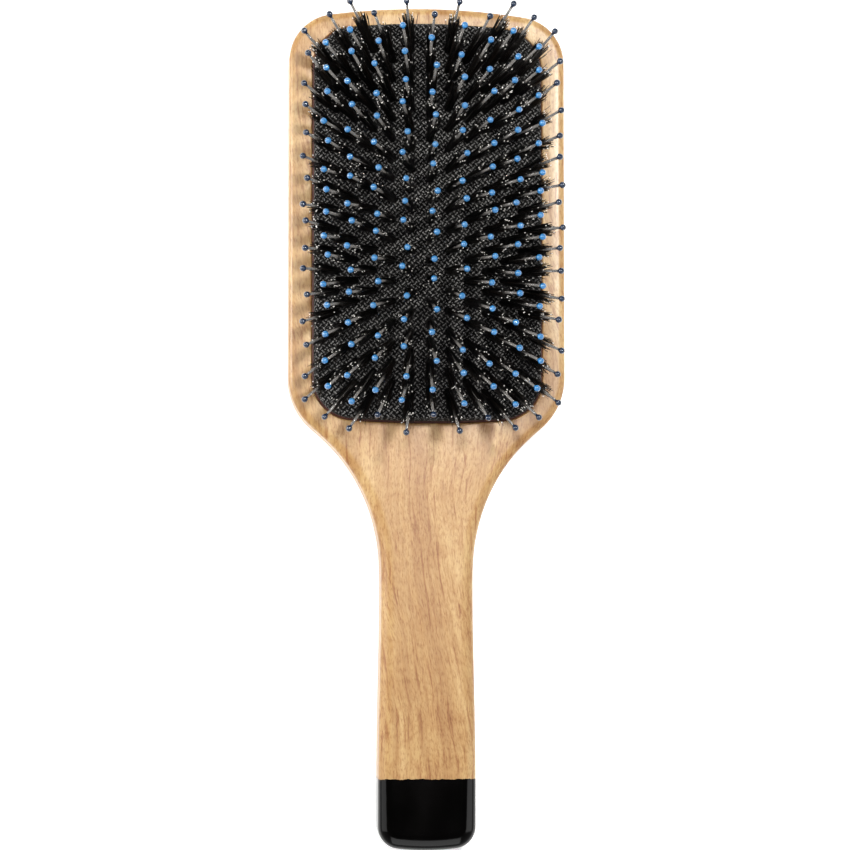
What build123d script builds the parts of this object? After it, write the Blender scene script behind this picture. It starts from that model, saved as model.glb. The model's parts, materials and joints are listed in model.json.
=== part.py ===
# Vanity paddle hairbrush with an air cushion, lying on its back.
# X across the head, Y from the handle end up to the head, Z out of the bristle face.
# The flat back of the wood is on Z = 0 and the whole brush is centred on X = 0, Y = 0.
import os
from math import asin, atan2, cos, degrees, pi, radians, sin, sqrt

from build123d import *

os.makedirs("parts", exist_ok=True)

# ---------------------------------------------------------------- driving dimensions (mm)
LENGTH = 250.0
HEAD_WIDTH = 82.2
WOOD_THICK = 14.0
EDGE_ROUND = 3.0

HEAD_TOP_RADIUS = 200.0
HEAD_CORNER = 14.0
SHOULDER_Y = 14.6
SHOULDER_RADIUS = 20.0
SHOULDER_TURN = 50.0
NECK_HALF = 13.6
NECK_Y = -48.0
GRIP_HALF = 14.4
GRIP_Y = -104.0
END_RADIUS = 70.0
END_CORNER = 6.5

LACQUER_Y = -104.0
LACQUER_THICK = 0.2

CUSHION_Y = 60.3
CUSHION_WIDTH = 67.6
CUSHION_LENGTH = 118.0
CUSHION_CORNER = 12.0
CUSHION_END_RADIUS = 330.0
CUSHION_RISE = 9.0
CUSHION_SAG_X = 4.5
CUSHION_SAG_Y = 3.0
CUSHION_EDGE = 1.8
FABRIC_THICK = 0.6
RUBBER_THICK = 2.5

POCKET_FLOOR = 6.0
POCKET_GAP = 0.5
GROOVE_BOTTOM = 8.0
GROOVE_TOP = 10.4
GROOVE_DEPTH = 2.1
FIT = 0.08
RIM_WIDTH = 0.42
RIM_TOP = 14.3
FABRIC_HEM = 14.35

COLUMNS = 11
COLUMN_PITCH = 5.5
ROW_PITCH = 6.0
ROWS_EDGE = 16
ROWS_EVEN = 17
ROWS_ODD = 18
LEAN_X = 33.0
LEAN_X_REACH = 27.5
LEAN_Y = 40.0
LEAN_Y_REACH = 50.0
LEAN_Y_POWER = 1.7
WANDER = 2.5

PIN_LENGTH = 17.9
PIN_DIA = 0.85
BALL_DIA = 1.9
FOOT_DIA = 3.2
FOOT_THICK = 0.7
SOCKET_DEPTH = 0.45
SOCKET_FIT = 0.02
TUFT_LENGTH = 11.8
TUFT_ROOT_DIA = 2.2
TUFT_TIP_DIA = 3.6
TUFT_BORE_DIA = 1.05
HOLE_DIA = 2.4

# ---------------------------------------------------------------- derived dimensions
FACE = WOOD_THICK
HALF = LENGTH / 2
DOME_TOP = FACE + CUSHION_RISE
HALF_W = CUSHION_WIDTH / 2
HALF_L = CUSHION_LENGTH / 2
DOME_RX = (HALF_W**2 + CUSHION_SAG_X**2) / (2 * CUSHION_SAG_X)
DOME_RY = (HALF_L**2 + CUSHION_SAG_Y**2) / (2 * CUSHION_SAG_Y)


# ---------------------------------------------------------------- shared shapes
def wood_outline(inset):
    """Half outline of the paddle, mirrored; inset moves the whole edge inwards."""
    half_w = HEAD_WIDTH / 2
    top_centre = HALF - HEAD_TOP_RADIUS
    corner_x = half_w - HEAD_CORNER
    corner_y = top_centre + sqrt((HEAD_TOP_RADIUS - HEAD_CORNER) ** 2 - corner_x**2)
    top_angle = atan2(corner_y - top_centre, corner_x)
    tangent_x = HEAD_TOP_RADIUS * cos(top_angle)
    tangent_y = top_centre + HEAD_TOP_RADIUS * sin(top_angle)
    mid_angle = (top_angle + pi / 2) / 2
    bend = top_angle / 2
    turn = radians(SHOULDER_TURN)
    shoulder_x = half_w - SHOULDER_RADIUS
    flank_x = shoulder_x + SHOULDER_RADIUS * cos(turn)
    flank_y = SHOULDER_Y - SHOULDER_RADIUS * sin(turn)
    flank_mid_x = shoulder_x + SHOULDER_RADIUS * cos(turn / 2)
    flank_mid_y = SHOULDER_Y - SHOULDER_RADIUS * sin(turn / 2)
    end_centre = END_RADIUS - HALF
    end_x = GRIP_HALF - END_CORNER
    end_y = end_centre - sqrt((END_RADIUS - END_CORNER) ** 2 - end_x**2)
    end_angle = atan2(end_y - end_centre, end_x)
    heel_x = END_RADIUS * cos(end_angle)
    heel_y = end_centre + END_RADIUS * sin(end_angle)
    heel_bend = end_angle / 2
    end_mid = (end_angle - pi / 2) / 2
    with BuildSketch() as outline:
        with BuildLine():
            ThreePointArc(
                (0, HALF),
                (HEAD_TOP_RADIUS * cos(mid_angle), top_centre + HEAD_TOP_RADIUS * sin(mid_angle)),
                (tangent_x, tangent_y),
            )
            ThreePointArc(
                (tangent_x, tangent_y),
                (corner_x + HEAD_CORNER * cos(bend), corner_y + HEAD_CORNER * sin(bend)),
                (half_w, corner_y),
            )
            Line((half_w, corner_y), (half_w, SHOULDER_Y))
            ThreePointArc((half_w, SHOULDER_Y), (flank_mid_x, flank_mid_y), (flank_x, flank_y))
            Spline(
                (flank_x, flank_y),
                (25.4, -9.2),
                (18.2, -21.2),
                (14.6, -33.1),
                (NECK_HALF, NECK_Y),
                tangents=[(-sin(turn), -cos(turn)), (0, -1)],
            )
            Spline(
                (NECK_HALF, NECK_Y),
                (GRIP_HALF, GRIP_Y),
                tangents=[(0, -1), (0, -1)],
            )
            Line((GRIP_HALF, GRIP_Y), (GRIP_HALF, end_y))
            ThreePointArc(
                (GRIP_HALF, end_y),
                (end_x + END_CORNER * cos(heel_bend), end_y + END_CORNER * sin(heel_bend)),
                (heel_x, heel_y),
            )
            ThreePointArc(
                (heel_x, heel_y),
                (END_RADIUS * cos(end_mid), end_centre + END_RADIUS * sin(end_mid)),
                (0, -HALF),
            )
            Line((0, -HALF), (0, HALF))
        make_face()
        mirror(about=Plane.YZ)
        if inset > 0:
            offset(amount=-inset)
    return outline.sketch


def wood_blank(inset):
    """The paddle before routing, all edges rounded over; inset shrinks it evenly."""
    with BuildPart() as blank:
        with BuildSketch(Plane.XY.offset(inset)):
            add(wood_outline(inset))
        extrude(amount=WOOD_THICK - 2 * inset)
        low_edges = blank.faces().sort_by(Axis.Z)[0].edges()
        high_edges = blank.faces().sort_by(Axis.Z)[-1].edges()
        fillet(low_edges + high_edges, radius=EDGE_ROUND - inset)
    return blank.part


def cushion_outline(grow):
    """Rounded rectangle with gently arched ends; grow moves its edge outwards."""
    rise = HALF_L - (CUSHION_END_RADIUS - sqrt(CUSHION_END_RADIUS**2 - HALF_W**2))
    with BuildSketch() as outline:
        with BuildLine():
            Line((-HALF_W, -rise), (-HALF_W, rise))
            ThreePointArc((-HALF_W, rise), (0, HALF_L), (HALF_W, rise))
            Line((HALF_W, rise), (HALF_W, -rise))
            ThreePointArc((HALF_W, -rise), (0, -HALF_L), (-HALF_W, -rise))
        make_face()
        fillet(outline.vertices(), radius=CUSHION_CORNER)
        if grow != 0:
            offset(amount=grow)
    return outline.sketch.moved(Location((0, CUSHION_Y, 0)))


def dome_block(depth, grow, bottom, edge):
    """Solid under the crowned cushion surface, depth below the outer face, down to bottom."""
    radius_x = DOME_RX - depth
    radius_y = DOME_RY - depth
    top = DOME_TOP - depth
    reach = HALF_W + 6
    drop = radius_x - sqrt(radius_x**2 - reach**2)
    with BuildPart() as slab:
        with BuildSketch(Plane.XZ.offset(-CUSHION_Y)):
            with BuildLine():
                ThreePointArc((-reach, top - drop), (0, top), (reach, top - drop))
                Line((reach, top - drop), (reach, -30))
                Line((reach, -30), (-reach, -30))
                Line((-reach, -30), (-reach, top - drop))
            make_face()
        swing = degrees(asin((HALF_L + 6) / radius_y))
        hub = Axis((0, CUSHION_Y, top - radius_y), (1, 0, 0))
        revolve(axis=hub, revolution_arc=2 * swing)
    crowned = slab.part.rotate(hub, -swing)
    with BuildPart() as block:
        with BuildSketch(Plane.XY.offset(bottom)):
            add(cushion_outline(grow))
        extrude(amount=DOME_TOP + 5 - bottom)
        add(crowned, mode=Mode.INTERSECT)
        if edge > 0:
            crown = block.faces().sort_by(Axis.Z)[-1]
            fillet(crown.edges(), radius=edge)
    return block.part


# ---------------------------------------------------------------- pin lattice
def row_count(column):
    """Outermost columns are short; the others alternate so that the rows interlock."""
    if abs(column) == COLUMNS // 2:
        return ROWS_EDGE
    if column % 2 == 0:
        return ROWS_EVEN
    return ROWS_ODD


def surface_height(x, y):
    """Height of the cushion's crowned outer face at a point, y from the cushion's middle."""
    hub_distance = DOME_RY - (DOME_RX - sqrt(DOME_RX**2 - x**2))
    return DOME_TOP - DOME_RY + sqrt(hub_distance**2 - y**2)


def pin_lean(column, row, x, y):
    """Unit vector of a pin: it fans outwards, with a small irregular wander."""
    side = LEAN_X * sin(pi / 2 * x / LEAN_X_REACH)
    ends = LEAN_Y * (abs(y) / LEAN_Y_REACH) ** LEAN_Y_POWER
    if y < 0:
        ends = -ends
    side = side + WANDER * sin(5.1 * column + 3.7 * row)
    ends = ends + WANDER * sin(2.3 * column + 8.9 * row + 1.0)
    lean = max(sqrt(side**2 + ends**2), 0.001)
    reach = sin(radians(lean))
    return (side / lean * reach, ends / lean * reach, cos(radians(lean)))


def pin_place(column, row):
    """Frame at the cushion's surface whose Z runs up the pin, and its foot's depth below."""
    x = column * COLUMN_PITCH
    y = (row - (row_count(column) - 1) / 2) * ROW_PITCH
    direction = pin_lean(column, row, x, y)
    roll = asin(x / DOME_RX)
    pitch = asin(y / DOME_RY)
    normal = (sin(roll), cos(roll) * sin(pitch), cos(roll) * cos(pitch))
    aligned = sum(a * b for a, b in zip(direction, normal))
    askew = sqrt(max(0.0, 1 - aligned**2))
    depth = (FABRIC_THICK + RUBBER_THICK + FOOT_DIA / 2 * askew) / aligned + 0.15
    origin = (x, CUSHION_Y + y, surface_height(x, y))
    return Plane(origin=origin, z_dir=direction).location, depth


def pin_solid(depth):
    """One straight round pin on its flat foot."""
    tip = PIN_LENGTH - BALL_DIA / 2 + SOCKET_DEPTH - SOCKET_FIT
    with BuildPart() as pin:
        with BuildSketch(Plane.XY.offset(-depth - FOOT_THICK)):
            Circle(FOOT_DIA / 2)
        extrude(amount=FOOT_THICK)
        with BuildSketch(Plane.XY.offset(-depth)):
            Circle(PIN_DIA / 2)
        extrude(amount=depth + tip)
    return pin.part


def ball_solid():
    """Round tip with the blind socket that the pin's end sits in."""
    with BuildPart() as ball:
        with Locations((0, 0, PIN_LENGTH)):
            Sphere(BALL_DIA / 2)
        with BuildSketch(Plane.XY.offset(PIN_LENGTH - BALL_DIA)):
            Circle(PIN_DIA / 2 + SOCKET_FIT)
        extrude(amount=BALL_DIA / 2 + SOCKET_DEPTH, mode=Mode.SUBTRACT)
    return ball.part


def tuft_solid(depth):
    """Flared ring of bristles round the pin, from its foot to the cut ends."""
    with BuildPart() as tuft:
        with BuildSketch(Plane.XZ):
            with BuildLine():
                Polyline(
                    (TUFT_BORE_DIA / 2, -depth),
                    (TUFT_ROOT_DIA / 2, -depth),
                    (TUFT_ROOT_DIA / 2, 1.0),
                    (TUFT_TIP_DIA / 2, TUFT_LENGTH - 0.5),
                    (TUFT_TIP_DIA / 2 - 0.5, TUFT_LENGTH),
                    (TUFT_BORE_DIA / 2, TUFT_LENGTH),
                    close=True,
                )
            make_face()
        revolve(axis=Axis.Z)
    return tuft.part


# ---------------------------------------------------------------- wood and its dipped end
with BuildPart() as lacquer_dip:
    add(wood_blank(0))
    with BuildSketch(Plane.XY.offset(-5)):
        with Locations((0, LACQUER_Y + LENGTH)):
            Rectangle(2 * HEAD_WIDTH, 2 * LENGTH)
    extrude(amount=WOOD_THICK + 10, mode=Mode.SUBTRACT)
    add(wood_blank(LACQUER_THICK), mode=Mode.SUBTRACT)
lacquer_dip.part.label = "lacquer_dip"
export_step(lacquer_dip.part, "parts/lacquer_dip.step")

with BuildPart() as wood_paddle:
    add(wood_blank(0))
    add(lacquer_dip.part, mode=Mode.SUBTRACT)
    with BuildSketch(Plane.XY.offset(POCKET_FLOOR)):
        add(cushion_outline(POCKET_GAP))
    extrude(amount=WOOD_THICK, mode=Mode.SUBTRACT)
    with BuildSketch(Plane.XY.offset(GROOVE_BOTTOM)):
        add(cushion_outline(POCKET_GAP + GROOVE_DEPTH))
    extrude(amount=GROOVE_TOP - GROOVE_BOTTOM, mode=Mode.SUBTRACT)
wood_paddle.part.label = "wood_paddle"
export_step(wood_paddle.part, "parts/wood_paddle.step")

# ---------------------------------------------------------------- air cushion
places = []
for column in range(-(COLUMNS // 2), COLUMNS // 2 + 1):
    for row in range(row_count(column)):
        places.append(pin_place(column, row)[0])

with BuildPart() as rubber_membrane:
    add(dome_block(FABRIC_THICK, -FABRIC_THICK, RIM_TOP - 1, CUSHION_EDGE - FABRIC_THICK))
    with BuildSketch(Plane.XY.offset(GROOVE_BOTTOM + FIT)):
        add(cushion_outline(RIM_WIDTH))
    extrude(amount=RIM_TOP - GROOVE_BOTTOM - FIT)
    with BuildSketch(Plane.XY.offset(GROOVE_BOTTOM + FIT)):
        add(cushion_outline(POCKET_GAP + GROOVE_DEPTH - FIT))
    extrude(amount=GROOVE_TOP - GROOVE_BOTTOM - 2 * FIT)
    add(
        dome_block(FABRIC_THICK + RUBBER_THICK, -FABRIC_THICK - RUBBER_THICK, 0, 0),
        mode=Mode.SUBTRACT,
    )
    with Locations(*places):
        Cylinder(HOLE_DIA / 2, 18, mode=Mode.SUBTRACT)
rubber_membrane.part.label = "rubber_membrane"
export_step(rubber_membrane.part, "parts/rubber_membrane.step")

with BuildPart() as fabric_facing:
    add(dome_block(0, 0, FABRIC_HEM, CUSHION_EDGE))
    add(
        dome_block(FABRIC_THICK, -FABRIC_THICK, FABRIC_HEM - 1, CUSHION_EDGE - FABRIC_THICK),
        mode=Mode.SUBTRACT,
    )
    with Locations(*places):
        Cylinder(HOLE_DIA / 2, 6, mode=Mode.SUBTRACT)
fabric_facing.part.label = "fabric_facing"
export_step(fabric_facing.part, "parts/fabric_facing.step")

# ---------------------------------------------------------------- pins, ball tips and tufts
ball = ball_solid()
for column in range(-(COLUMNS // 2), COLUMNS // 2 + 1):
    number = f"{column + COLUMNS // 2 + 1:02d}"
    with BuildPart() as pins:
        for row in range(row_count(column)):
            place, depth = pin_place(column, row)
            add(pin_solid(depth).moved(place))
    pins.part.label = f"pins_{number}"
    export_step(pins.part, f"parts/pins_{number}.step")

    with BuildPart() as tips:
        for row in range(row_count(column)):
            place, depth = pin_place(column, row)
            add(ball.moved(place))
    tips.part.label = f"ball_tips_{number}"
    export_step(tips.part, f"parts/ball_tips_{number}.step")

    with BuildPart() as tufts:
        for row in range(row_count(column)):
            place, depth = pin_place(column, row)
            add(tuft_solid(depth).moved(place))
    tufts.part.label = f"bristles_{number}"
    export_step(tufts.part, f"parts/bristles_{number}.step")
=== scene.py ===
"""Paddle hairbrush: bristle tufts, nylon pins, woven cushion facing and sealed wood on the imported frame."""

import json
import math

import bmesh
import bpy
import numpy as np
from mathutils import Matrix, Vector, noise

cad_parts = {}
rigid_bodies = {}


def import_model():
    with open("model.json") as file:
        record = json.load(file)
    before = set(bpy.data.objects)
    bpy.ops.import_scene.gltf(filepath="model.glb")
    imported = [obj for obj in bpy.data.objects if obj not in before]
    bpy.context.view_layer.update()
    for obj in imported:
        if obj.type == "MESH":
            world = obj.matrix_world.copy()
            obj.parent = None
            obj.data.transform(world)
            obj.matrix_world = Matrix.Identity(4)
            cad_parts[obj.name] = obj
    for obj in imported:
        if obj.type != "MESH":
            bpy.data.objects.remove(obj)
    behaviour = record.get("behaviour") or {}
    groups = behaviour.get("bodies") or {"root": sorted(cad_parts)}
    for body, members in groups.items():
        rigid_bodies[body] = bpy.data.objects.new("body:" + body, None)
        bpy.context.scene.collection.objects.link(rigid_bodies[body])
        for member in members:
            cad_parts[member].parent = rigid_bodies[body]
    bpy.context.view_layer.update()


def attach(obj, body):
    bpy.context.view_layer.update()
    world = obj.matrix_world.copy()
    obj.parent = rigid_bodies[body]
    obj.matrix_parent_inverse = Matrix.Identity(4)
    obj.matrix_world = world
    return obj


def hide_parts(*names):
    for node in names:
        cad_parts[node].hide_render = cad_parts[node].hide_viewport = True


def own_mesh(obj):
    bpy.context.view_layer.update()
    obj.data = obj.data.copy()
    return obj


MM = 0.001
RNG = np.random.default_rng(11)

# ---------------------------------------------------------------- dimensions shared with the CAD (mm)
HALF = 125.0
WOOD_THICK = 14.0
HEAD_HALF, HEAD_CORNER, HEAD_TOP_RADIUS = 41.1, 14.0, 200.0
SHOULDER_Y, SHOULDER_RADIUS, SHOULDER_TURN = 14.6, 20.0, 50.0
NECK_HALF, NECK_Y = 13.6, -48.0
GRIP_HALF, GRIP_Y = 14.4, -104.0
END_RADIUS, END_CORNER = 70.0, 6.5
LACQUER_Y = -104.0

CUSHION_Y = 60.3
HALF_W, HALF_L = 33.8, 59.0
CORNER, END_R = 12.0, 330.0
RISE, SAG_X, SAG_Y = 9.0, 4.5, 3.0
EDGE = 1.8
FABRIC, RUBBER_DEPTH = 0.6, 2.5
HEM = 14.35
RIM_TOP = 14.3
GROOVE_BOTTOM = 8.08
DOME_TOP = WOOD_THICK + RISE
DOME_RX = (HALF_W**2 + SAG_X**2) / (2 * SAG_X)
DOME_RY = (HALF_L**2 + SAG_Y**2) / (2 * SAG_Y)

COLUMNS = range(-5, 6)
EDGE_COLUMN = 5
ROWS_EDGE, ROWS_EVEN, ROWS_ODD = 16, 17, 18
PITCH_X, PITCH_Y = 5.5, 6.0
LEAN_X, LEAN_X_REACH = 33.0, 27.5
LEAN_Y, LEAN_Y_REACH, LEAN_Y_POWER = 40.0, 50.0, 1.7
WANDER = 2.5
PIN_LENGTH = 17.9
PIN_R = 0.425
BALL_R = 0.95
FOOT_R, FOOT_THICK, FOOT_GAP = 1.6, 0.7, 0.15
TUFT_LENGTH = 11.8


def row_count(column):
    if abs(column) == EDGE_COLUMN:
        return ROWS_EDGE
    return ROWS_EVEN if column % 2 == 0 else ROWS_ODD


def dome_height(x, y):
    hub = DOME_RY - (DOME_RX - np.sqrt(DOME_RX**2 - x**2))
    return DOME_TOP - DOME_RY + np.sqrt(hub**2 - y**2)


def pin_frame(column, row):
    """Root point on the cushion, unit vectors with W up the pin, and the foot's depth, in mm."""
    x = column * PITCH_X
    y = (row - (row_count(column) - 1) / 2) * PITCH_Y
    side = LEAN_X * math.sin(math.pi / 2 * x / LEAN_X_REACH) + WANDER * math.sin(5.1 * column + 3.7 * row)
    ends = LEAN_Y * (abs(y) / LEAN_Y_REACH) ** LEAN_Y_POWER * (1 if y >= 0 else -1)
    ends += WANDER * math.sin(2.3 * column + 8.9 * row + 1.0)
    lean = max(math.hypot(side, ends), 0.001)
    reach = math.sin(math.radians(lean))
    w = np.array([side / lean * reach, ends / lean * reach, math.cos(math.radians(lean))])
    roll, pitch = math.asin(x / DOME_RX), math.asin(y / DOME_RY)
    normal = (math.sin(roll), math.cos(roll) * math.sin(pitch), math.cos(roll) * math.cos(pitch))
    aligned = float(np.dot(w, normal))
    skin = FABRIC + RUBBER_DEPTH
    depth = (skin + FOOT_R * math.sqrt(max(0.0, 1 - aligned**2))) / aligned + FOOT_GAP
    u = np.cross([0.0, 1.0, 0.0], w)
    u /= np.linalg.norm(u)
    v = np.cross(w, u)
    root = np.array([x, CUSHION_Y + y, float(dome_height(x, y))])
    return root, u, v, w, depth


# ---------------------------------------------------------------- outline helpers
def arc(cx, cy, radius, start, end, count):
    """Points along an arc, without its last one."""
    angles = [start + (end - start) * k / count for k in range(count)]
    return [(cx + radius * math.cos(a), cy + radius * math.sin(a)) for a in angles]


def walk(loop):
    """Distance along a closed loop at each of its points; its last point is its first."""
    return np.r_[0, np.cumsum(np.linalg.norm(np.diff(loop, axis=0), axis=1))]


def evenly(loop, count):
    """Points evenly spaced along a closed loop."""
    step = walk(loop)
    want = np.linspace(0, step[-1], count, endpoint=False)
    return np.stack([np.interp(want, step, loop[:, 0]), np.interp(want, step, loop[:, 1])], 1)


# ---------------------------------------------------------------- mesh helpers
def make_object(name, verts, faces, material_ids=None, materials=()):
    """A smooth mesh object from millimetre points."""
    mesh = bpy.data.meshes.new(name)
    mesh.from_pydata((np.asarray(verts, float) * MM).tolist(), [], faces)
    for material in materials:
        mesh.materials.append(material)
    if material_ids is not None:
        mesh.polygons.foreach_set("material_index", np.asarray(material_ids, np.int32))
    mesh.polygons.foreach_set("use_smooth", [True] * len(mesh.polygons))
    mesh.update()
    obj = bpy.data.objects.new(name, mesh)
    bpy.context.scene.collection.objects.link(obj)
    return obj


class Builder:
    """Collects rings and faces for many small turned or swept pieces in one mesh."""

    def __init__(self):
        self.verts, self.faces, self.ids = [], [], []

    def lathe(self, origin, u, v, w, profile, sides, material=0):
        """Turned solid about w through origin; profile is (radius, height) from foot to crown."""
        start = len(self.verts)
        for radius, height in profile:
            for k in range(sides):
                a = 2 * math.pi * k / sides
                self.verts.append(origin + w * height + (u * math.cos(a) + v * math.sin(a)) * radius)
        for j in range(len(profile) - 1):
            for k in range(sides):
                a = start + j * sides + k
                b = start + j * sides + (k + 1) % sides
                self.faces.append((a, b, b + sides, a + sides))
                self.ids.append(material)
        last = start + (len(profile) - 1) * sides
        self.faces.append(tuple(start + k for k in reversed(range(sides))))
        self.faces.append(tuple(last + k for k in range(sides)))
        self.ids += [material, material]

    def hair(self, points, radii, material, end):
        """Three-sided hair through points; its cut end and last short length are in the end's material."""
        start = len(self.verts)
        along = points[-1] - points[0]
        along /= np.linalg.norm(along)
        u = np.cross(along, [0.31, 0.77, 0.55])
        u /= np.linalg.norm(u)
        v = np.cross(along, u)
        for point, radius in zip(points, radii):
            for k in range(3):
                a = 2 * math.pi * k / 3
                self.verts.append(point + (u * math.cos(a) + v * math.sin(a)) * radius)
        for j in range(len(points) - 1):
            for k in range(3):
                a = start + 3 * j + k
                b = start + 3 * j + (k + 1) % 3
                self.faces.append((a, b, b + 3, a + 3))
                self.ids.append(end if j == len(points) - 2 else material)
        last = start + 3 * (len(points) - 1)
        self.faces.append((last, last + 1, last + 2))
        self.faces.append((start + 2, start + 1, start))
        self.ids += [end, material]

    def build(self, name, materials):
        return make_object(name, self.verts, self.faces, self.ids, materials)


# ---------------------------------------------------------------- materials
def new_material(name):
    material = bpy.data.materials.new(name)
    material.use_nodes = True
    nodes = material.node_tree.nodes
    shader = nodes["Principled BSDF"]
    return material, nodes, material.node_tree.links, shader


def grey(value):
    return (value, value, value)


def plain(name, color, roughness, **extra):
    """A material that is the same all over; extra names other sockets, with _ for a space."""
    material, _, _, shader = new_material(name)
    shader.inputs["Base Color"].default_value = (*color, 1)
    shader.inputs["Roughness"].default_value = roughness
    for key, value in extra.items():
        shader.inputs[key.replace("_", " ")].default_value = value
    return material


def ramp_node(nodes, stops):
    ramp = nodes.new("ShaderNodeValToRGB")
    elements = ramp.color_ramp.elements
    while len(elements) < len(stops):
        elements.new(0.5)
    for element, (at, color) in zip(elements, stops):
        element.position = at
        element.color = (*color, 1)
    return ramp


def ramp_through(nodes, links, source, stops, target):
    """Send a value through a colour ramp into a socket."""
    ramp = ramp_node(nodes, stops)
    links.new(source, ramp.inputs["Fac"])
    links.new(ramp.outputs["Color"], target)


def noise_node(nodes, links, source, scale=1.0, detail=4.0, rough=0.55, distortion=0.0):
    tex = nodes.new("ShaderNodeTexNoise")
    tex.inputs["Scale"].default_value = scale
    tex.inputs["Detail"].default_value = detail
    tex.inputs["Roughness"].default_value = rough
    tex.inputs["Distortion"].default_value = distortion
    links.new(source, tex.inputs["Vector"])
    return tex


def mapping_node(nodes, links, scale, rotation=(0, 0, 0), source=None):
    mapping = nodes.new("ShaderNodeMapping")
    mapping.inputs["Scale"].default_value = scale
    mapping.inputs["Rotation"].default_value = rotation
    if source is None:
        source = nodes.new("ShaderNodeTexCoord").outputs["Object"]
    links.new(source, mapping.inputs["Vector"])
    return mapping.outputs["Vector"]


def warped_coordinates(nodes, links, scale, reach, slant):
    """Object coordinates pushed about by a broad noise, so that straight grain wanders."""
    place = mapping_node(nodes, links, (1, 1, 1), (0, 0, slant))
    drift = noise_node(nodes, links, place, scale, detail=2.0, rough=0.5)
    centred = nodes.new("ShaderNodeVectorMath")
    centred.operation = "SUBTRACT"
    links.new(drift.outputs["Color"], centred.inputs[0])
    centred.inputs[1].default_value = (0.5, 0.5, 0.5)
    pushed = nodes.new("ShaderNodeVectorMath")
    pushed.operation = "MULTIPLY_ADD"
    links.new(centred.outputs[0], pushed.inputs[0])
    pushed.inputs[1].default_value = (reach, reach, reach)
    links.new(place, pushed.inputs[2])
    return pushed.outputs[0]


def multiply_color(nodes, links, factor, a, b):
    mix = nodes.new("ShaderNodeMix")
    mix.data_type = "RGBA"
    mix.blend_type = "MULTIPLY"
    mix.inputs["Factor"].default_value = factor
    links.new(a, mix.inputs["A"])
    links.new(b, mix.inputs["B"])
    return mix.outputs["Result"]


def bump_node(nodes, links, height, strength, distance, normal=None):
    bump = nodes.new("ShaderNodeBump")
    bump.inputs["Strength"].default_value = strength
    bump.inputs["Distance"].default_value = distance
    links.new(height, bump.inputs["Height"])
    if normal is not None:
        links.new(normal, bump.inputs["Normal"])
    return bump.outputs["Normal"]


def wood_material():
    """Pale close-grained wood: wandering growth bands, brown fibres, curl and ray flecks, satin seal."""
    material, nodes, links, shader = new_material("pale_wood")
    place = warped_coordinates(nodes, links, scale=14.0, reach=0.022, slant=-0.10)

    def layer(scale, stops, detail, distortion=0.0):
        vector = mapping_node(nodes, links, scale, source=place)
        grain = noise_node(nodes, links, vector, detail=detail, rough=0.6, distortion=distortion)
        shade = ramp_node(nodes, stops)
        links.new(grain.outputs["Fac"], shade.inputs["Fac"])
        return grain.outputs["Fac"], shade.outputs["Color"]

    bands = [(0.28, (0.40, 0.208, 0.076)), (0.50, (0.565, 0.360, 0.151)), (0.70, (0.70, 0.510, 0.257))]
    fibres = [(0.33, (0.62, 0.41, 0.28)), (0.45, (0.94, 0.88, 0.82)), (0.58, (1.0, 1.0, 1.0))]
    curls = [(0.32, (0.88, 0.80, 0.71)), (0.50, (0.97, 0.95, 0.93)), (0.66, (1.0, 1.0, 1.0))]
    flecks = [(0.33, (0.70, 0.56, 0.44)), (0.47, (0.92, 0.88, 0.84)), (0.60, (1.0, 1.0, 1.0))]
    color = layer((80, 9, 80), bands, 4.0, 0.9)[1]
    fibre, fibre_color = layer((1000, 42, 1000), fibres, 4.0, 0.25)
    fleck, fleck_color = layer((2300, 620, 2300), flecks, 3.0)
    curl_color = layer((95, 150, 95), curls, 3.0, 1.4)[1]
    for strength, shade in ((0.9, fibre_color), (0.95, fleck_color), (0.85, curl_color)):
        color = multiply_color(nodes, links, strength, color, shade)
    links.new(color, shader.inputs["Base Color"])
    ramp_through(nodes, links, fibre, [(0.3, grey(0.46)), (0.7, grey(0.36))], shader.inputs["Roughness"])
    relief = bump_node(nodes, links, fibre, strength=0.35, distance=0.00012)
    relief = bump_node(nodes, links, fleck, strength=0.3, distance=0.00010, normal=relief)
    links.new(relief, shader.inputs["Normal"])
    shader.inputs["Coat Weight"].default_value = 0.5
    shader.inputs["Coat Roughness"].default_value = 0.28
    return material


def lacquer_material():
    """Deep black dipped lacquer, faintly uneven."""
    material, nodes, links, shader = new_material("black_lacquer")
    swirl = noise_node(nodes, links, mapping_node(nodes, links, (120, 60, 120)), detail=3.0).outputs["Fac"]
    tones = [(0.3, (0.0006, 0.0005, 0.0005)), (0.7, (0.0014, 0.0012, 0.0012))]
    ramp_through(nodes, links, swirl, tones, shader.inputs["Base Color"])
    ramp_through(nodes, links, swirl, [(0.3, grey(0.09)), (0.7, grey(0.14))], shader.inputs["Roughness"])
    links.new(bump_node(nodes, links, swirl, strength=0.15, distance=0.0004), shader.inputs["Normal"])
    return material


WEAVE_PITCH = 1.22
HEM_CREST = 17.0
STEEP_FROM, STEEP_TO, STEEP_RUN = 0.75, 0.45, 0.7


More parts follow.
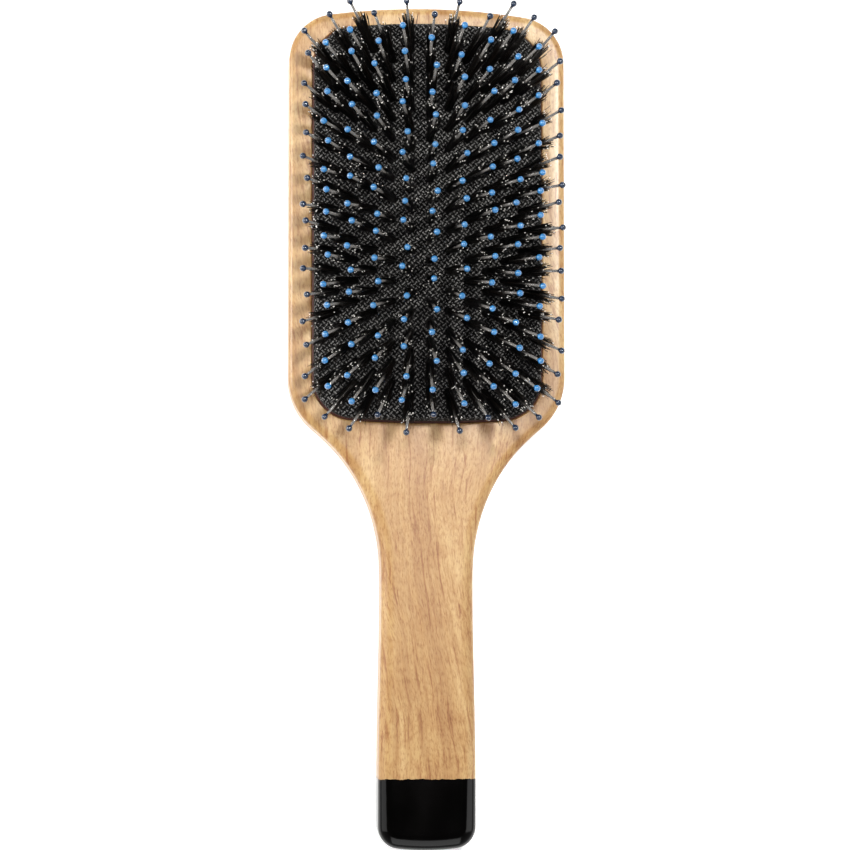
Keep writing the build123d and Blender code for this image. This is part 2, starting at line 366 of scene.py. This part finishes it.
def fabric_material():
    """Black plain-weave cloth: crossing round threads, a little slub and sheen, and a painted highlight on
    the thread crests.
    """
    material, nodes, links, shader = new_material("black_fabric")

    def math_node(kind, a, b=None):
        node = nodes.new("ShaderNodeMath")
        node.operation = kind
        for slot, value in zip(node.inputs, (a, b)):
            if value is None:
                continue
            if isinstance(value, (int, float)):
                slot.default_value = value
            else:
                links.new(value, slot)
        return node.outputs[0]

    split, facing = nodes.new("ShaderNodeSeparateXYZ"), nodes.new("ShaderNodeSeparateXYZ")
    turn = math.pi / (WEAVE_PITCH * MM)
    links.new(mapping_node(nodes, links, (turn, turn, turn), (0, 0, math.radians(45))), split.inputs[0])
    links.new(nodes.new("ShaderNodeNewGeometry").outputs["Normal"], facing.inputs[0])
    # on the steep hem the threads run on down the wall, across each other whichever way the wall faces
    steep = nodes.new("ShaderNodeMapRange")
    links.new(facing.outputs["Z"], steep.inputs["Value"])
    steep.inputs["From Min"].default_value = STEEP_FROM
    steep.inputs["From Max"].default_value = STEEP_TO
    steep.inputs["To Min"].default_value = 0.0
    steep.inputs["To Max"].default_value = STEEP_RUN
    below = math_node("SUBTRACT", split.outputs["Z"], HEM_CREST * MM * turn)
    fall = math_node("MULTIPLY", below, steep.outputs[0])
    sideways = math_node("GREATER_THAN", math_node("ABSOLUTE", facing.outputs["X"]),
                         math_node("ABSOLUTE", facing.outputs["Y"]))
    hand = math_node("SUBTRACT", 1.0, math_node("MULTIPLY", sideways, 2.0))
    warp_phase = math_node("SINE", math_node("ADD", split.outputs["X"], fall))
    weft_phase = math_node("SINE", math_node("ADD", split.outputs["Y"], math_node("MULTIPLY", fall, hand)))
    across = math_node("ABSOLUTE", warp_phase)
    along = math_node("ABSOLUTE", weft_phase)
    over = math_node("MULTIPLY", warp_phase, weft_phase)
    choose = math_node("GREATER_THAN", over, 0.0)
    warp = math_node("MULTIPLY", across, choose)
    weft = math_node("MULTIPLY", along, math_node("SUBTRACT", 1.0, choose))
    weave = math_node("ADD", warp, weft)
    slub = noise_node(nodes, links, mapping_node(nodes, links, (2600, 2600, 2600)), detail=2.0).outputs["Fac"]
    height = math_node("ADD", weave, math_node("MULTIPLY", slub, 0.5))
    # painted highlight: the thread crests are coloured light grey on the black cloth, standing in for light
    # glinting off them
    tones = [(0.20, grey(0.0006)), (0.40, grey(0.006)), (0.60, (0.26, 0.255, 0.25))]
    ramp_through(nodes, links, math_node("MULTIPLY", weave, slub), tones, shader.inputs["Base Color"])
    shader.inputs["Roughness"].default_value = 0.8
    shader.inputs["Specular IOR Level"].default_value = 0.1
    shader.inputs["Sheen Weight"].default_value = 0.02
    shader.inputs["Sheen Roughness"].default_value = 0.4
    links.new(bump_node(nodes, links, height, strength=0.8, distance=0.00022), shader.inputs["Normal"])
    return material


def rubber_material():
    """Matt red-brown rubber, finely speckled."""
    material, nodes, links, shader = new_material("brown_rubber")
    speck = noise_node(nodes, links, mapping_node(nodes, links, (700, 700, 700)), detail=3.0).outputs["Fac"]
    tones = [(0.3, (0.055, 0.012, 0.008)), (0.7, (0.11, 0.028, 0.018))]
    ramp_through(nodes, links, speck, tones, shader.inputs["Base Color"])
    shader.inputs["Roughness"].default_value = 0.55
    links.new(bump_node(nodes, links, speck, strength=0.3, distance=0.0001), shader.inputs["Normal"])
    return material


WOOD = wood_material()
LACQUER = lacquer_material()
CLOTH = fabric_material()
RUBBER = rubber_material()
NYLON = plain("clear_nylon", (0.43, 0.41, 0.39), 0.18, Transmission_Weight=0.68, IOR=1.55)
BLUE = plain("blue_nylon", (0.045, 0.32, 0.74), 0.2, Transmission_Weight=0.45, IOR=1.8, Coat_Weight=1.0)
# painted shade: the ball tips round the edge of the field are given this much darker blue for the shade they
# seem to sit in; the real tips are all one blue
PAINTED_SHADE_BLUE = plain("blue_nylon_painted_shade", (0.004, 0.020, 0.060), 0.10, Transmission_Weight=0.20, IOR=1.7, Coat_Weight=0.6)
HAIR = plain("bristle_black", (0.0008, 0.0007, 0.0007), 0.42, Specular_IOR_Level=0.35)
HAIR_BROWN = plain("bristle_brown", (0.008, 0.005, 0.0035), 0.42, Specular_IOR_Level=0.35)
HAIR_CUT = plain("bristle_cut", (0.95, 0.92, 0.87), 0.5)


# ---------------------------------------------------------------- cushion
# mesh points round each loop, and rings over the crown
CLOTH_MESH, CLOTH_MESH_QUICK, RUBBER_MESH = (560, 66), (320, 40), (200, 20)
WALL_STEPS, ROUND_STEPS = 4, 8
SMALLEST_RING = 0.01
DIMPLE, DIMPLE_RADIUS = 0.35, 1.7
RIPPLE, RIPPLES_PER_MM = 0.10, 0.35
CLOTH_THICK = FABRIC - 0.12
RUBBER_UNDER_CLOTH = 0.5
RUBBER_THICK = 1.6
# how far the rubber's rim stands out past the cushion's outline, and at what height
RUBBER_RIM = ((0.42, GROOVE_BOTTOM), (0.42, RIM_TOP - 0.25), (0.30, RIM_TOP - 0.06), (0.12, RIM_TOP))


def cushion_loop(grow, count):
    """Points of the cushion's outline, evenly spaced and started at the same place, in mm."""
    end_y = HALF_L - END_R
    x = HALF_W - CORNER
    y = end_y + math.sqrt((END_R - CORNER) ** 2 - x**2)
    turn = math.atan2(y - end_y, x)
    corner, end = CORNER + grow, END_R + grow
    loop = arc(x, y, corner, 0, turn, 60)
    loop += arc(0, end_y, end, turn, math.pi - turn, 60)
    loop += arc(-x, y, corner, math.pi - turn, math.pi, 60)
    loop += arc(-x, -y, corner, math.pi, math.pi + turn, 60)
    loop += arc(0, -end_y, end, math.pi + turn, 2 * math.pi - turn, 60)
    loop += arc(x, -y, corner, 2 * math.pi - turn, 2 * math.pi, 60)
    return evenly(np.array(loop + loop[:1]), count)


def loops_object(name, loops, material):
    """Skin over closed loops of equal count; the last one is filled by a fan to its middle."""
    count = len(loops[0])
    verts = np.concatenate(loops)
    faces = []
    for j in range(len(loops) - 1):
        for k in range(count):
            a, b = j * count + k, j * count + (k + 1) % count
            faces.append((a, b, b + count, a + count))
    verts = np.vstack([verts, loops[-1].mean(0)])
    base = (len(loops) - 1) * count
    for k in range(count):
        faces.append((base + k, base + (k + 1) % count, len(verts) - 1))
    return make_object(name, verts, faces, None, [material])


ROOTS = np.array([pin_frame(column, row)[0] for column in COLUMNS for row in range(row_count(column))])


def pad_loops(depth, bottom, mesh, dimple):
    """Loops from the bottom of the pad's wall, round its edge and in over the crown."""
    count, rings = mesh
    edge = EDGE - depth
    loops = []
    rim = cushion_loop(-depth, count)
    for step in np.linspace(0, 1, WALL_STEPS):
        top = dome_height(rim[:, 0], rim[:, 1]) - depth - edge
        loops.append(np.c_[rim, bottom + (top - bottom) * step])
    for a in np.linspace(0, math.pi / 2, ROUND_STEPS)[1:]:
        inset = edge * (1 - math.cos(a))
        ring = cushion_loop(-depth - inset, count)
        z = dome_height(ring[:, 0], ring[:, 1]) - depth - edge + edge * math.sin(a)
        loops.append(np.c_[ring, z])
    inner = cushion_loop(-depth - edge, count)
    for size in np.linspace(1, SMALLEST_RING, rings)[1:]:
        ring = inner * size
        z = dome_height(ring[:, 0], ring[:, 1]) - depth
        if dimple:
            across = ring[:, None, 0] - ROOTS[None, :, 0]
            along = ring[:, None, 1] + CUSHION_Y - ROOTS[None, :, 1]
            away = np.hypot(across, along)
            z = z - dimple * np.exp(-((away / DIMPLE_RADIUS) ** 2)).sum(1)
            spots = [Vector((p[0] * RIPPLES_PER_MM, p[1] * RIPPLES_PER_MM, 0)) for p in ring]
            z = z + np.array([RIPPLE * noise.noise(spot) for spot in spots])
        loops.append(np.c_[ring, z])
    for loop in loops:
        loop[:, 1] += CUSHION_Y
    return loops


def thicken(obj, thickness):
    modifier = obj.modifiers.new("thick", "SOLIDIFY")
    modifier.thickness = thickness * MM
    modifier.offset = -1
    graph = bpy.context.evaluated_depsgraph_get()
    mesh = bpy.data.meshes.new_from_object(obj.evaluated_get(graph))
    obj.modifiers.clear()
    obj.data = mesh
    return obj


def build_cushion():
    cloth_mesh = CLOTH_MESH
    cloth = loops_object("cloth_facing", pad_loops(0.0, HEM, cloth_mesh, DIMPLE), CLOTH)
    thicken(cloth, CLOTH_THICK)
    rim = []
    for grow, z in RUBBER_RIM:
        ring = cushion_loop(grow, RUBBER_MESH[0])
        ring[:, 1] += CUSHION_Y
        rim.append(np.c_[ring, np.full(len(ring), z)])
    dome = pad_loops(FABRIC + RUBBER_UNDER_CLOTH, RIM_TOP, RUBBER_MESH, 0)
    pad = loops_object("rubber_pad", rim + dome, RUBBER)
    thicken(pad, RUBBER_THICK)
    for piece, node, slot in (
        (cloth, "fabric_facing", "black_fabric"),
        (pad, "rubber_membrane", "brown_rubber"),
    ):
        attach(piece, "paddle")
        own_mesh(piece)
        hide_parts(node)


# ---------------------------------------------------------------- wood and its dipped end
LACQUER_PROUD = 0.03
LACQUER_BED = 0.15
WOOD_STEP, LACQUER_STEP, LIP_STEP = 0.9, 0.5, 0.25
ON_CUT = 1e-7
# the lacquer's uneven lip: its mean height, slow and fine waves, and waves per metre along x and z
RAGGED, RAGGED_SLOW, RAGGED_FINE = 0.4, 0.24, 0.16
RAGGED_X, RAGGED_Z, RAGGED_FINER = 620, 450, 4.3
BACK_ROUND = 3.0
# the front edge's radius at the head, what the grip and the end add, and where and over what length
FRONT_HEAD, FRONT_GRIP, FRONT_END = 2.3, 1.7, 0.6
GRIP_FROM, GRIP_RUN, END_FROM, END_RUN = 15.0, 55.0, -100.0, 20.0
FRONT_DROP = 0.6
SIDE_HEIGHTS = (4.5, 7.0, 8.8)
BACK_STEPS, FRONT_STEPS = 9, 13
FACE_MARGIN = 0.35
POCKET_POINTS = 420
POCKET_MOUTH = ((0.95, 0.0), (0.80, -0.03), (0.62, -0.12), (0.53, -0.28))
POCKET_SHAPE = POCKET_MOUTH + ((0.5, -0.5), (0.5, -3.0), (0.5, -8.0))


def hermite(points, first, last, count):
    """Smooth curve through points with the given end directions."""
    points = np.array(points, float)
    span = np.linalg.norm(np.diff(points, axis=0), axis=1)
    slopes = np.gradient(points, np.r_[0, np.cumsum(span)], axis=0)
    slopes[0], slopes[-1] = first, last
    out = []
    for k in range(len(points) - 1):
        for t in np.linspace(0, 1, count, endpoint=False):
            h00, h10 = 2 * t**3 - 3 * t**2 + 1, t**3 - 2 * t**2 + t
            h01, h11 = 3 * t**2 - 2 * t**3, t**3 - t**2
            point = h00 * points[k] + h01 * points[k + 1]
            out.append(point + span[k] * (h10 * slopes[k] + h11 * slopes[k + 1]))
    return out


def paddle_outline(spacing):
    """Evenly spaced points round the wood, anticlockwise from the middle of the handle's end."""
    end_y = END_RADIUS - HALF
    corner_x = GRIP_HALF - END_CORNER
    corner_y = end_y - math.sqrt((END_RADIUS - END_CORNER) ** 2 - corner_x**2)
    end_turn = math.atan2(corner_y - end_y, corner_x)
    half = arc(0, end_y, END_RADIUS, -math.pi / 2, end_turn, 40)
    half += arc(corner_x, corner_y, END_CORNER, end_turn, 0, 40)
    half += hermite([(GRIP_HALF, corner_y), (GRIP_HALF, GRIP_Y)], (0, 1), (0, 1), 20)
    half += hermite([(GRIP_HALF, GRIP_Y), (NECK_HALF, NECK_Y)], (0, 1), (0, 1), 60)
    turn = math.radians(SHOULDER_TURN)
    shoulder_x = HEAD_HALF - SHOULDER_RADIUS
    flank = (shoulder_x + SHOULDER_RADIUS * math.cos(turn), SHOULDER_Y - SHOULDER_RADIUS * math.sin(turn))
    knots = [(NECK_HALF, NECK_Y), (14.6, -33.1), (18.2, -21.2), (25.4, -9.2), flank]
    half += hermite(knots, (0, 1), (math.sin(turn), math.cos(turn)), 30)
    half += arc(shoulder_x, SHOULDER_Y, SHOULDER_RADIUS, -turn, 0, 40)
    top_y = HALF - HEAD_TOP_RADIUS
    head_x = HEAD_HALF - HEAD_CORNER
    head_y = top_y + math.sqrt((HEAD_TOP_RADIUS - HEAD_CORNER) ** 2 - head_x**2)
    top_turn = math.atan2(head_y - top_y, head_x)
    half += [(HEAD_HALF, y) for y in np.linspace(SHOULDER_Y, head_y, 90, endpoint=False)]
    half += arc(head_x, head_y, HEAD_CORNER, 0, top_turn, 40)
    half += arc(0, top_y, HEAD_TOP_RADIUS, top_turn, math.pi / 2, 41)
    half = np.array(half)
    loop = np.vstack([half, half[::-1] * [-1, 1], half[:1]])
    return evenly(loop, int(walk(loop)[-1] / spacing))


def front_round(y):
    """Radius of the front edge: small round the head, fuller down the handle and its end."""
    t = np.clip((GRIP_FROM - y) / GRIP_RUN, 0, 1)
    end = np.clip((END_FROM - y) / END_RUN, 0, 1)
    return FRONT_HEAD + FRONT_GRIP * t * t * (3 - 2 * t) + FRONT_END * end


def edge_rings(line, proud):
    """Rings round the paddle: out of its flat back, up its side and in over the front edge."""
    tangent = np.roll(line, -1, 0) - np.roll(line, 1, 0)
    inward = np.stack([-tangent[:, 1], tangent[:, 0]], 1)
    inward /= np.linalg.norm(inward, axis=1)[:, None]
    front = front_round(line[:, 1])
    drop = FRONT_DROP * front
    rings = []

    def ring(inset, z):
        rings.append(np.c_[line + inward * inset[:, None], np.maximum(z, 0.0)])

    for a in np.linspace(0, math.pi / 2, BACK_STEPS):
        ring(BACK_ROUND - (BACK_ROUND + proud) * math.sin(a), BACK_ROUND - (BACK_ROUND + proud) * math.cos(a))
    for z in SIDE_HEIGHTS:
        ring(-proud, np.full(len(line), z))
    for a in np.linspace(0, math.pi / 2, FRONT_STEPS):
        ring(front - (front + proud) * math.cos(a), WOOD_THICK - drop + (drop + proud) * math.sin(a))
    ring(front + FACE_MARGIN, WOOD_THICK + proud)
    return rings


def ring_grid(bm, rings):
    """Quads between successive rings, and a cap on the first one."""
    count = len(rings[0])
    grid = [[bm.verts.new(p * MM) for p in ring] for ring in rings]
    for j in range(len(grid) - 1):
        for k in range(count):
            m = (k + 1) % count
            bm.faces.new((grid[j][k], grid[j][m], grid[j + 1][m], grid[j + 1][k]))
    bm.faces.new(list(reversed(grid[0])))
    return grid


def finish_shell(bm, name, material):
    """Object from the bmesh, smooth but for its real corners."""
    bmesh.ops.recalc_face_normals(bm, faces=bm.faces)
    mesh = bpy.data.meshes.new(name)
    bm.to_mesh(mesh)
    bm.free()
    mesh.materials.append(material)
    mesh.polygons.foreach_set("use_smooth", [True] * len(mesh.polygons))
    mesh.set_sharp_from_angle(angle=math.radians(40))
    piece = bpy.data.objects.new(name, mesh)
    bpy.context.scene.collection.objects.link(piece)
    return piece


def build_wood():
    """The paddle in one piece, open at the cushion's pocket, and cut back a little under the lacquer."""
    line = paddle_outline(WOOD_STEP)
    under_lacquer = np.where(line[:, 1] < LACQUER_Y - WOOD_STEP, -LACQUER_BED, 0.0)
    bm = bmesh.new()
    grid = ring_grid(bm, edge_rings(line, under_lacquer))
    count = len(line)
    pocket = []
    for grow, z in POCKET_SHAPE:
        ring = cushion_loop(grow, POCKET_POINTS)
        ring[:, 1] += CUSHION_Y
        pocket.append([bm.verts.new((x * MM, y * MM, (WOOD_THICK + z) * MM)) for x, y in ring])
    for j in range(len(pocket) - 1):
        for k in range(POCKET_POINTS):
            m = (k + 1) % POCKET_POINTS
            bm.faces.new((pocket[j][k], pocket[j][m], pocket[j + 1][m], pocket[j + 1][k]))
    bm.faces.new(pocket[-1])
    edges = [bm.edges.get((grid[-1][k], grid[-1][(k + 1) % count])) for k in range(count)]
    edges += [bm.edges.get((pocket[0][k], pocket[0][(k + 1) % POCKET_POINTS])) for k in range(POCKET_POINTS)]
    bmesh.ops.triangle_fill(bm, use_beauty=True, use_dissolve=False, edges=edges, normal=(0, 0, 1))
    wood = finish_shell(bm, "wood_look", WOOD)
    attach(wood, "paddle")
    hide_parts("wood_paddle")


def build_lacquer():
    """The dipped coat: a thin skin over the handle's end, a hair proud, with an uneven upper line."""
    line = paddle_outline(LACQUER_STEP)
    bm = bmesh.new()
    grid = ring_grid(bm, edge_rings(line, np.full(len(line), LACQUER_PROUD)))
    bm.faces.new(grid[-1])
    cut = (LACQUER_Y - RAGGED) * MM
    everything = bm.verts[:] + bm.edges[:] + bm.faces[:]
    bmesh.ops.bisect_plane(bm, geom=everything, plane_co=(0, cut, 0), plane_no=(0, 1, 0), clear_outer=True)
    lip = [edge for edge in bm.edges if all(abs(vert.co.y - cut) < ON_CUT for vert in edge.verts)]
    for edge in lip:
        pieces = int(edge.calc_length() / (LIP_STEP * MM))
        if pieces > 1:
            bmesh.ops.subdivide_edges(bm, edges=[edge], cuts=pieces - 1)
    for vert in bm.verts:
        if abs(vert.co.y - cut) < ON_CUT:
            spot = Vector((vert.co.x * RAGGED_X, vert.co.z * RAGGED_Z, 0.4))
            waves = RAGGED_SLOW * noise.noise(spot) + RAGGED_FINE * noise.noise(spot * RAGGED_FINER)
            vert.co.y += (RAGGED + waves) * MM
    lacquer = thicken(finish_shell(bm, "lacquer_look", LACQUER), LACQUER_BED)
    lacquer.data.set_sharp_from_angle(angle=math.radians(40))
    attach(lacquer, "paddle")
    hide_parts("lacquer_dip")


# ---------------------------------------------------------------- pins, tips and tufts
PIN_SIDES, TIP_SIDES = 10, 16
HAIRS_PER_TUFT = 64
GOLDEN_TURN = 0.618034
HAIR_STATIONS = (0.0, 0.3, 0.62, 0.965, 1.0)
TUFT_ROOT = 3.2
TUFT_BORE, TUFT_WALL = 0.48, 0.55
FLARE_POWER = 1.6
STRAY_SHARE, BROWN_SHARE, PALE_SHARE = 0.16, 0.2, 0.13
PALE_TIP = 0.19


def pin_profile(depth):
    """Flat foot under the rubber, then the shaft, slimmer towards the ball."""
    foot = [(FOOT_R, -depth - FOOT_THICK), (FOOT_R, -depth - 0.08), (FOOT_R - 0.2, -depth)]
    shaft = [(PIN_R, -depth + 0.05), (PIN_R, 2.0), (PIN_R * 0.97, 9.0), (PIN_R * 0.92, PIN_LENGTH - 1.0)]
    return foot + shaft


def tip_profile(size):
    """Round ball on a short neck round the shaft's end."""
    neck = [(PIN_R * 0.95, -1.30), (PIN_R * 1.02, -1.10)]
    angles = list(np.linspace(0.52, 1.57, 6)) + list(np.linspace(1.57, 3.0, 8)[1:])
    return neck + [(size * math.sin(a), -size * math.cos(a)) for a in angles]


def build_column(column):
    """One column of pins, ball tips and tufts; the tips round the edge of the field get painted shade, a much
    darker blue.
    """
    number = f"{column + 6:02d}"
    rows = row_count(column)
    pins, tips, tufts = Builder(), Builder(), Builder()
    for row in range(rows):
        root, u, v, w, depth = pin_frame(column, row)
        pins.lathe(root, u, v, w, pin_profile(depth), PIN_SIDES)
        # painted shade: the tips on the field's edge take the darker blue
        shaded_edge_tip = abs(column) == EDGE_COLUMN or row in (0, rows - 1)
        size = BALL_R * RNG.uniform(0.95, 1.02)
        tips.lathe(root + w * PIN_LENGTH, u, v, w, tip_profile(size), TIP_SIDES, int(shaded_edge_tip))
        grow_tuft(tufts, root, u, v, w)
    body = f"column_{number}"
    for builder, name, materials, slot in (
        (pins, "pins", [NYLON], "clear_nylon"),
        (tips, "ball_tips", [BLUE, PAINTED_SHADE_BLUE], "blue_nylon"),
        (tufts, "bristles", [HAIR, HAIR_BROWN, HAIR_CUT], "dark_bristle"),
    ):
        piece = builder.build(f"{name}_{number}_look", materials)
        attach(piece, body)
        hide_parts(f"{name}_{number}")


def grow_tuft(builder, root, u, v, w):
    """Boar bristles packed round the pin: rooted through cloth and rubber, flared, with a few strays."""
    lean_u, lean_v = RNG.normal(0, 0.3, 2)
    for k in range(HAIRS_PER_TUFT):
        angle = 2 * math.pi * (k * GOLDEN_TURN + RNG.uniform(-0.03, 0.03))
        inner = math.sqrt(RNG.uniform(0.10, 1.0))
        start = TUFT_BORE + TUFT_WALL * inner
        flare = RNG.uniform(0.15, 1.15) * inner
        if RNG.random() < STRAY_SHARE:
            flare += RNG.uniform(0.4, 1.3)
        length = TUFT_LENGTH * RNG.uniform(0.86, 1.09)
        twist = RNG.uniform(-0.3, 0.3)
        points = []
        for t in HAIR_STATIONS:
            out = start + flare * t**FLARE_POWER
            a = angle + twist * t
            offset_u = math.cos(a) * out + lean_u * t**2
            offset_v = math.sin(a) * out + lean_v * t**2
            height = length * t if t else -TUFT_ROOT
            points.append(root + u * offset_u + v * offset_v + w * height)
        thick = RNG.uniform(0.09, 0.135)
        material = int(RNG.random() < BROWN_SHARE)
        pale = RNG.random() < PALE_SHARE
        tip = PALE_TIP if pale else thick * 0.7
        radii = (thick, thick, thick * 0.95, thick * 0.85, tip)
        builder.hair(points, radii, material, 2 if pale else material)


# ---------------------------------------------------------------- assemble
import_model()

build_wood()
build_lacquer()
build_cushion()
for column in COLUMNS:
    build_column(column)

# ---------------------------------------------------------------- studio
WARM, WARMER, NEUTRAL = (1.0, 0.99, 0.97), (1.0, 0.98, 0.95), (1, 1, 1)
# name, place, point aimed at and size in metres, power in watts, colour
STUDIO_LIGHTS = (
    ("key", (0.15, 0.16, 0.48), (0, 0.05, 0.01), (0.07, 0.07), 1.75, (1.0, 0.985, 0.95)),
    ("top", (-0.20, 0.24, 0.78), (0, 0.04, 0.01), (0.38, 0.38), 1.9, WARM),
    ("left", (-0.46, 0.10, 0.27), (0, 0.06, 0.01), (0.16, 0.24), 1.65, WARMER),
    ("overhead", (0.07, 0.02, 0.80), (0, 0, 0.01), (0.16, 0.16), 0.45, NEUTRAL),
    ("front", (0.0, -0.80, 0.62), (0, -0.06, 0.01), (0.7, 0.6), 1.35, NEUTRAL),
    ("right_panel", (0.70, -0.10, 0.56), (0, -0.06, 0.01), (0.6, 0.6), 1.05, NEUTRAL),
    ("left_panel", (-0.70, -0.10, 0.56), (0, -0.06, 0.01), (0.6, 0.6), 0.9, NEUTRAL),
)
FLOOR_HALF = 4000
HORIZON_TO_ZENITH = [(0.0, grey(1)), (0.12, grey(0.75)), (0.35, grey(0.30)), (0.92, grey(0.02))]
SKY_STRENGTH = 0.6
CAMERA_TILT_X, CAMERA_TILT_Y, CAMERA_FAR = 4.6, 3.3, 0.80
CAMERA_AIM = Vector((-0.00075, 0.00025, 0.014))
SENSOR, FRAME_WIDTH = 36, 0.2516


def area_light(name, place, target, size, power, color):
    lamp = bpy.data.lights.new(name, "AREA")
    lamp.shape = "RECTANGLE"
    lamp.size, lamp.size_y = size
    lamp.energy = power
    lamp.color = color
    obj = bpy.data.objects.new(name, lamp)
    obj.location = place
    obj.rotation_euler = (Vector(target) - Vector(place)).to_track_quat("-Z", "Y").to_euler()
    bpy.context.scene.collection.objects.link(obj)


def build_floor():
    corners = [(x * FLOOR_HALF, y * FLOOR_HALF, 0) for x, y in ((-1, -1), (1, -1), (1, 1), (-1, 1))]
    pale = plain("pale_floor", (0.9, 0.9, 0.9), 0.9, Emission_Color=(1, 1, 1, 1), Emission_Strength=0.5)
    floor = make_object("floor", corners, [(0, 1, 2, 3)], None, [pale])


def build_sky():
    """White at the horizon and nearly black overhead, so gloss shows its edges."""
    world = bpy.data.worlds.new("studio")
    world.use_nodes = True
    nodes, links = world.node_tree.nodes, world.node_tree.links
    heading = nodes.new("ShaderNodeTexCoord")
    split = nodes.new("ShaderNodeSeparateXYZ")
    links.new(heading.outputs["Generated"], split.inputs[0])
    ramp_through(nodes, links, split.outputs["Z"], HORIZON_TO_ZENITH, nodes["Background"].inputs["Color"])
    nodes["Background"].inputs["Strength"].default_value = SKY_STRENGTH
    bpy.context.scene.world = world


def place_camera():
    """Nearly straight down on the bristle face, from a little left and towards the handle."""
    back = Vector((-math.sin(math.radians(CAMERA_TILT_X)), -math.sin(math.radians(CAMERA_TILT_Y)), 0))
    back.z = math.sqrt(1 - back.x**2 - back.y**2)
    data = bpy.data.cameras.new("camera")
    data.sensor_width = SENSOR
    data.lens = SENSOR * CAMERA_FAR / FRAME_WIDTH
    data.clip_start = 0.01
    camera = bpy.data.objects.new("camera", data)
    camera.location = CAMERA_AIM + back * CAMERA_FAR
    right = Vector((0, 1, 0)).cross(back).normalized()
    up = back.cross(right)
    camera.rotation_euler = Matrix((right, up, back)).transposed().to_euler()
    bpy.context.scene.collection.objects.link(camera)
    bpy.context.scene.camera = camera


build_floor()
for light in STUDIO_LIGHTS:
    area_light(*light)
build_sky()
place_camera()
bpy.context.scene.view_settings.view_transform = "Standard"
